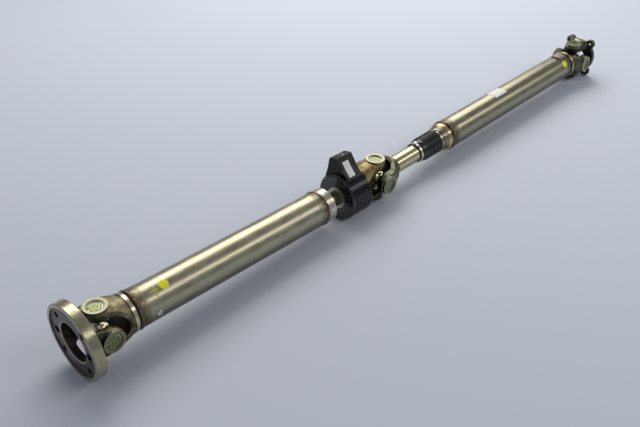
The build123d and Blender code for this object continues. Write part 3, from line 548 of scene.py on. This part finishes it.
def polished_material():
    """Slip yoke: forged fork, and a ground gold-bright barrel with light wear along its travel."""
    s = Surface("slip_yoke_finish", metallic=1.0)
    station, _, angle = s.round_line(REAR)
    _, y, _ = s.split(s.frame_of(REAR))
    on_barrel = s.fade(station, BARREL_START - 0.0005, BARREL_START + 0.0005)
    spot = spot_faces(s, y)
    cut_away = s.math("MAXIMUM", on_barrel, spot)
    as_forged = s.math("SUBTRACT", 1.0, cut_away)
    skin, skin_rough = forging(s, (0.07, 0.07, 0.04), (0.23, 0.23, 0.14), as_forged)
    # painted shade inside the fork, between the ears
    skin = s.mix(s.math("MULTIPLY", fork_inside(s, REAR, "side"), 0.85), skin, FORK_SHADE)
    around = s.math("MULTIPLY", angle, BARREL_RADIUS)
    scratch = s.noise(1.0, s.stretch(s.join(station, around, 0.0), (18.0, 1500.0, 1.0)), detail=3.0)
    cloud = s.noise(60.0, detail=4.0)
    ground = s.mix(s.fade(scratch, 0.5, 0.75, 0.0, 0.4), (0.64, 0.57, 0.36), (0.40, 0.34, 0.19))
    ground = s.mix(s.fade(cloud, 0.52, 0.70, 0.0, 0.3), ground, (0.52, 0.44, 0.24))
    colour = s.mix(on_barrel, skin, ground)
    rough = s.blend(on_barrel, skin_rough, s.fade(cloud, 0.3, 0.7, 0.20, 0.26))
    colour = s.mix(spot, colour, (0.27, 0.27, 0.18))
    rough = s.blend(spot, rough, 0.30)
    return s.done(colour, rough, soften=0.0005)


def stub_material():
    """Stub shaft: bright turned shoulder, darker neck."""
    s = Surface("stub_shaft_finish", metallic=1.0)
    station, radius, _ = s.round_line(FRONT)
    cut, cut_rough = machined(s, (0.66, 0.61, 0.49), station, 0.0008)
    darker = s.mix(s.fade(s.noise(240.0, detail=4.0), 0.4, 0.65), (0.18, 0.16, 0.12), (0.30, 0.27, 0.21))
    colour = s.mix(s.fade(radius, 0.0345, 0.0352), darker, cut)
    return s.done(colour, cut_rough, soften=0.0004)


# ---- Pieces made here ----
def finish_piece(name, bm, material):
    """Turns a bmesh in the row frame into an object with outward faces."""
    bmesh.ops.recalc_face_normals(bm, faces=bm.faces)
    mesh = bpy.data.meshes.new(name)
    bm.to_mesh(mesh)
    bm.free()
    for face in mesh.polygons:
        face.use_smooth = True
    piece = bpy.data.objects.new(name, mesh)
    bpy.context.scene.collection.objects.link(piece)
    piece.data.materials.append(material)
    return piece


def lathe(name, line, profile, material, segments=128, ripple=None):
    """Closed ring turned about a line from a loop of (station, radius); ripple moves a radius by angle."""
    bm = bmesh.new()
    rings = []
    for step in range(segments):
        angle = 360.0 * step / segments
        ring = []
        for index, (station, radius) in enumerate(profile):
            if ripple:
                station, radius = ripple(index, station, radius, angle)
            ring.append(bm.verts.new(line.at(station, radius, angle)))
        rings.append(ring)
    count = len(profile)
    for step in range(segments):
        here, after = rings[step], rings[(step + 1) % segments]
        for index in range(count):
            following = (index + 1) % count
            bm.faces.new((here[index], after[index], after[following], here[following]))
    return finish_piece(name, bm, material)


BOOT_FOLDS = 8
BOOT_WALL = 0.0018
BOOT_CUFF = 0.010
BOOT_CONE = 0.014
FRONT_CUFF_RADIUS = 0.0236
REAR_CUFF_RADIUS = 0.0283
FOLD_DEPTH = 0.0024


def bellows_profile():
    """Outline of the boot: two cuffs, a plain swelling and rounded folds, then back along the inside."""
    low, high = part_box("slip_boot")
    first, last = REAR.station(low), REAR.station(high)
    crest = (high.y - low.y) / 2
    root = crest - FOLD_DEPTH
    start, end = first + BOOT_CUFF + BOOT_CONE, last - BOOT_CUFF
    outer = [(first, FRONT_CUFF_RADIUS - 0.0006), (first + 0.0006, FRONT_CUFF_RADIUS),
             (first + BOOT_CUFF - 0.0012, FRONT_CUFF_RADIUS)]
    cone_steps = 10
    for step in range(cone_steps + 1):
        part = step / cone_steps
        swell = math.sin(0.5 * math.pi * part) ** 0.6
        outer.append((first + BOOT_CUFF + (BOOT_CONE - 0.0005) * part,
                      FRONT_CUFF_RADIUS + 0.0004 + (root - FRONT_CUFF_RADIUS) * swell))
    per_fold = 12
    for step in range(1, BOOT_FOLDS * per_fold + 1):
        part = step / (BOOT_FOLDS * per_fold)
        phase = part * BOOT_FOLDS
        wave = (0.5 - 0.5 * math.cos(2 * math.pi * phase)) ** 0.75
        base = REAR_CUFF_RADIUS if phase > BOOT_FOLDS - 0.5 else root
        outer.append((start + (end - start) * part, base + (crest - base) * wave))
    outer += [(end + 0.0012, REAR_CUFF_RADIUS), (last - 0.0006, REAR_CUFF_RADIUS),
              (last, REAR_CUFF_RADIUS - 0.0006)]
    inner = [(station, radius - BOOT_WALL) for station, radius in reversed(outer[1:-1])]
    return outer + inner, first, last


def close_sheet(bm, layers, columns, rows):
    """Faces of a thin sheet from its lower and upper grids of points."""
    low, high = layers
    for i in range(columns):
        for j in range(rows):
            bm.faces.new((high[i][j], high[i + 1][j], high[i + 1][j + 1], high[i][j + 1]))
            bm.faces.new((low[i][j], low[i][j + 1], low[i + 1][j + 1], low[i + 1][j]))
    edge = ([(i, 0) for i in range(columns)] + [(columns, j) for j in range(rows)]
            + [(i, rows) for i in range(columns, 0, -1)] + [(0, j) for j in range(rows, 0, -1)])
    for (a, b), (c, d) in zip(edge, edge[1:] + edge[:1]):
        bm.faces.new((low[a][b], low[c][d], high[c][d], high[a][b]))


def wrap_sheet(name, line, stations, angles, radius, thickness, material, curl=0.0):
    """Thin sheet wrapped on a round surface, its corners lifting a little."""
    columns, rows = 16, 16
    bm = bmesh.new()
    layers = []
    for lift in (0.0, thickness):
        grid = []
        for i in range(columns + 1):
            u = i / columns
            line_of = []
            for j in range(rows + 1):
                v = j / rows
                corner = max(0.0, abs(u - 0.5) * 2 - 0.6) * max(0.0, abs(v - 0.5) * 2 - 0.6)
                rise = lift + curl * corner * (1.0 + 0.6 * math.sin(9 * u + 5 * v))
                station = stations[0] + (stations[1] - stations[0]) * u
                angle = angles[0] + (angles[1] - angles[0]) * v
                line_of.append(bm.verts.new(line.at(station, radius + rise, angle)))
            grid.append(line_of)
        layers.append(grid)
    close_sheet(bm, layers, columns, rows)
    return finish_piece(name, bm, material)


def lay_sheet(name, under, line, stations, heights, thickness, material):
    """Thin sheet laid on the -Y flank of a piece: each point is dropped onto the piece's own surface."""
    surface = BVHTree.FromPolygons([vertex.co for vertex in under.data.vertices],
                                   [face.vertices for face in under.data.polygons])
    columns, rows = 10, 28
    bm = bmesh.new()
    layers = []
    for lift in (0.00012, 0.00012 + thickness):
        grid = []
        for i in range(columns + 1):
            row = []
            for j in range(rows + 1):
                station = stations[0] + (stations[1] - stations[0]) * i / columns
                height = heights[0] + (heights[1] - heights[0]) * j / rows
                start = line.at(station) + line.up * height - line.side * 0.1
                place, normal, _, _ = surface.ray_cast(start, line.side)
                row.append(bm.verts.new(place + normal * lift))
            grid.append(row)
        layers.append(grid)
    close_sheet(bm, layers, columns, rows)
    return finish_piece(name, bm, material)


WELD_STEPS = 14
WELD_HALF_WIDTH = 0.0039
WELD_SCALES = 75


def weld_profile(first, last, tube_radius):
    """Loop across a weld bead: a low dome outside, flat inside."""
    loop = []
    for step in range(WELD_STEPS + 1):
        part = step / WELD_STEPS
        loop.append((first + (last - first) * part, tube_radius - 0.0004 + 0.0018 * math.sin(math.pi * part)))
    return loop + [(last, tube_radius - 0.0032), (first, tube_radius - 0.0032)]


def weld_ripple(first, last, count, seed):
    """Overlapping scales along a weld bead, each pulled back to one side."""
    rng = random.Random(seed)
    sizes = [rng.uniform(0.75, 1.25) for _ in range(count)]

    def move(index, station, radius, angle):
        part = (station - first) / (last - first)
        if index > WELD_STEPS:
            return station, radius
        bow = 4.0 * part * (1.0 - part)
        phase = (angle / 360.0 * count + 0.55 * bow) % count
        scale = sizes[int(phase) % count]
        wave = phase % 1.0
        rise = (wave ** 0.6) * (1.0 - wave) * 2.2
        return station + 0.0004 * math.sin(phase * 1.7) * bow, radius + 0.00045 * bow * (rise - 0.4) * scale

    return move


# ---- Materials of the carried-over CAD nodes ----
front_tube_low, front_tube_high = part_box("front_tube")
rear_tube_low, rear_tube_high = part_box("rear_tube")
front_radius = (front_tube_high.y - front_tube_low.y) / 2
rear_radius = (rear_tube_high.y - rear_tube_low.y) / 2
front_first = FRONT.station(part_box("front_weld_near")[1])
front_last = FRONT.station(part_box("front_weld_far")[0])
rear_first = REAR.station(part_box("rear_weld_near")[1])
rear_last = REAR.station(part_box("rear_weld_far")[0])

dot_place = FRONT.at(0.128, front_radius, 26)
cross_place = FRONT.at(0.1065, front_radius, 30)
green = (0.50, 0.52, 0.03)
cross_tangent = (FRONT.at(0.1, front_radius, 40) - FRONT.at(0.1, front_radius, 20)).normalized()
front_marks = [
    (cross_place, 0.0, green, (FRONT.along, 0.009, 0.0018)),
    (cross_place, 0.0, green, (cross_tangent, 0.0135, 0.0018)),
    (dot_place, 0.0095, YELLOW, "dot"),
]
rear_dot = REAR.at(0.815, rear_radius, 50)
rear_marks = [(rear_dot, 0.0100, YELLOW, "dot")]

materials = {
    "near_flange_yoke": near_flange_material(),
    "front_tube_yoke": yoke_material("front_tube_yoke_finish", FRONT, (0.12, 0.10, 0.055), (0.36, 0.31, 0.18),
                                     FRONT_SHOULDER, "up"),
    "front_tube": tube_material("front_tube_finish", FRONT, front_first, front_last, front_marks),
    "rear_tube": tube_material("rear_tube_finish", REAR, rear_first, rear_last, rear_marks, 0.32),
    "centre_yoke": yoke_material("centre_yoke_finish", BACK_FRONT, (0.15, 0.11, 0.045), (0.42, 0.33, 0.15),
                                 None, "up"),
    "rear_tube_yoke": yoke_material("rear_tube_yoke_finish", Line(REAR_JOINT, CENTRE_JOINT),
                                    (0.055, 0.055, 0.040), (0.165, 0.165, 0.115), REAR_SHOULDER, "side"),
    "rear_flange_yoke": yoke_material("rear_flange_yoke_finish", FAR_END,
                                      (0.035, 0.045, 0.035), (0.12, 0.135, 0.10), None, "up"),
    "slip_yoke": polished_material(),
    "slip_sleeve": sleeve_material(),
    "stub_shaft": stub_material(),
    "balance_weight": plain_steel("balance_weight_finish", (0.40, 0.30, 0.25), (0.4, 0.55), 0.8, 0.0001),
    "vent_plug": plain_steel("vent_plug_finish", (0.74, 0.72, 0.66), (0.2, 0.3), 0.3),
    "foot_insert": plain_steel("foot_insert_finish", (0.78, 0.74, 0.60), (0.2, 0.32), 0.3),
    "front_deflector": plain_steel("deflector_finish", (0.52, 0.54, 0.42), (0.34, 0.48), 0.4, 0.00008),
    "yoke_nut": plain_steel("yoke_nut_finish", (0.52, 0.49, 0.40), (0.3, 0.45), 0.6),
    "bearing_inner_race": plain_steel("bearing_finish", (0.66, 0.65, 0.62), (0.12, 0.22), 0.3),
    "bearing_carrier": plain_steel("carrier_finish", (0.22, 0.22, 0.20), (0.35, 0.5), 0.6),
    "rubber_cushion": rubber("cushion_rubber", 0.004, (0.14, 0.22), 0.05, 0.00005, 0.85),
    "support_foot": rubber("foot_rubber", 0.004, (0.28, 0.42), 0.05),
    "bearing_seals": rubber("seal_rubber", 0.014, (0.35, 0.5), 0.1),
}
materials["rear_deflector"] = materials["front_deflector"]
materials["yoke_washer"] = materials["yoke_nut"]
for name in ("bearing_outer_race", "bearing_balls", "bearing_cage"):
    materials[name] = materials["bearing_inner_race"]
ring_finish = plain_steel("snap_ring_finish", (0.19, 0.20, 0.13), (0.28, 0.42), 0.5)
cross_finish = plain_steel("cross_finish", (0.74, 0.69, 0.52), (0.22, 0.38), 0.4, 0.00006)
nipple_finish = plain_steel("nipple_finish", (0.80, 0.72, 0.48), (0.2, 0.32), 0.4)
for prefix in ("near", "centre", "rear"):
    materials[f"{prefix}_cross"] = cross_finish
    materials[f"{prefix}_needle_rollers"] = materials["bearing_inner_race"]
    materials[f"{prefix}_trunnion_seals"] = materials["bearing_seals"]
    materials[f"{prefix}_grease_nipple"] = nipple_finish
for prefix, line, axis in (("near_flange", FRONT, "side"), ("front_tube_yoke", FRONT, "up"),
                           ("centre_yoke", BACK_FRONT, "up"), ("slip_yoke", REAR, "side"),
                           ("rear_tube_yoke", FAR_END, "side"), ("rear_flange", FAR_END, "up")):
    materials[f"{prefix}_bearing_cups"] = cup_material(f"{prefix}_cup_finish", line, axis)
    materials[f"{prefix}_snap_rings"] = ring_finish
clamp_finish = plain_steel("clamp_finish", (0.74, 0.70, 0.58), (0.18, 0.3), 0.3)
materials["front_boot_clamp"] = clamp_finish
materials["rear_boot_clamp"] = plain_steel("rear_clamp_finish", (0.42, 0.40, 0.27), (0.22, 0.34), 0.4)
for name in ("front_weld_near", "front_weld_far", "rear_weld_near", "rear_weld_far"):
    materials[name] = weld_material(name + "_finish")

boot_profile, boot_first, boot_last = bellows_profile()
boot_finish = rubber("boot_rubber", 0.008, (0.20, 0.32), 0.15, 0.00005, 0.6)
boot = lathe("slip_boot_bellows", REAR, boot_profile, boot_finish, segments=160)
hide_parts("slip_boot")
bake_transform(boot)

for number, (name, line, radius) in enumerate((("front_weld_near", FRONT, front_radius),
                                               ("front_weld_far", FRONT, front_radius),
                                               ("rear_weld_near", REAR, rear_radius),
                                               ("rear_weld_far", REAR, rear_radius))):
    weld_low, weld_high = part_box(name)
    middle = line.station((weld_low + weld_high) / 2)
    first, last = middle - WELD_HALF_WIDTH, middle + WELD_HALF_WIDTH
    bead = lathe(name + "_bead", line, weld_profile(first, last, radius), materials[name],
                 segments=600, ripple=weld_ripple(first, last, WELD_SCALES, number))
    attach(bead, "front_shaft" if line is FRONT else "rear_shaft")
    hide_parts(name)

STICKER_THICKNESS = 0.00015
sticker = sticker_material("sticker_paper")
rear_label = wrap_sheet("rear_label", REAR, (0.477, 0.528), (-28, 24), rear_radius + 0.00003,
                        STICKER_THICKNESS, sticker, curl=0.0012)
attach(rear_label, "rear_shaft")
foot_label = lay_sheet("foot_label", nodes["support_foot"], FRONT, (0.6205, 0.6395), (0.080, 0.052),
                       STICKER_THICKNESS, sticker)
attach(foot_label, "centre_support")

for name, node in nodes.items():
    if name not in materials:
        continue
    node.data.materials.clear()
    node.data.materials.append(materials[name])
    for face in node.data.polygons:
        face.material_index = 0


# ---- Floor, lights, camera ----
def stage_material(name, colour):
    s = Surface(name, roughness=0.85, specular=0.2)
    tone = s.noise(1.3, detail=2.0)
    shade = tuple(channel * 0.985 for channel in colour)
    return s.done(s.mix(tone, shade, colour))


FLOOR_COLOUR = (0.70, 0.74, 0.82)
floor_mesh = bpy.data.meshes.new("floor")
floor_corners = [(-14, -14, FLOOR), (16, -14, FLOOR), (16, 16, FLOOR), (-14, 16, FLOOR)]
floor_mesh.from_pydata(floor_corners, [], [(0, 1, 2, 3)])
floor = bpy.data.objects.new("floor", floor_mesh)
floor.data.materials.append(stage_material("floor_finish", FLOOR_COLOUR))
bpy.context.scene.collection.objects.link(floor)

world = bpy.data.worlds.new("studio")
world.use_nodes = True
world.node_tree.nodes["Background"].inputs["Color"].default_value = (0.62, 0.66, 0.74, 1)
world.node_tree.nodes["Background"].inputs["Strength"].default_value = 0.35
bpy.context.scene.world = world


def panel(name, place, target, size, power, colour=(1, 0.985, 0.95)):
    """A rectangular soft light that faces its target, long side along X."""
    light = bpy.data.lights.new(name, "AREA")
    light.shape = "RECTANGLE"
    light.size, light.size_y = size
    light.energy = power
    light.color = colour
    lamp = bpy.data.objects.new(name, light)
    bpy.context.scene.collection.objects.link(lamp)
    aim = (Vector(target) - Vector(place)).normalized()
    across = Vector((1, 0, 0))
    across = (across - aim * across.dot(aim)).normalized()
    rotation = Matrix((across, -aim.cross(across), -aim)).transposed()
    lamp.matrix_world = Matrix.Translation(place) @ rotation.to_4x4()


panel("back_panel", (2.0, 1.5, 1.9), (0.85, 0.1, 0), (3.6, 1.7), 58)
panel("front_panel", (2.0, -1.75, 1.65), (0.9, 0, 0), (3.6, 0.55), 15)

camera_data = bpy.data.cameras.new("camera")
camera_data.lens = 43.2
camera_data.sensor_width = 36.0
camera_data.clip_end = 60
camera = bpy.data.objects.new("camera", camera_data)
bpy.context.scene.collection.objects.link(camera)
CAMERA_PLACE = Vector((-0.3862, -0.9479, 0.9164))
CAMERA_AIM = Vector((0.5929, 0.5679, -0.5710))
camera_turn = CAMERA_AIM.to_track_quat("-Z", "Y").to_matrix().to_4x4()
camera.matrix_world = Matrix.Translation(CAMERA_PLACE) @ camera_turn
bpy.context.scene.camera = camera
bpy.context.scene.view_settings.view_transform = "Standard"
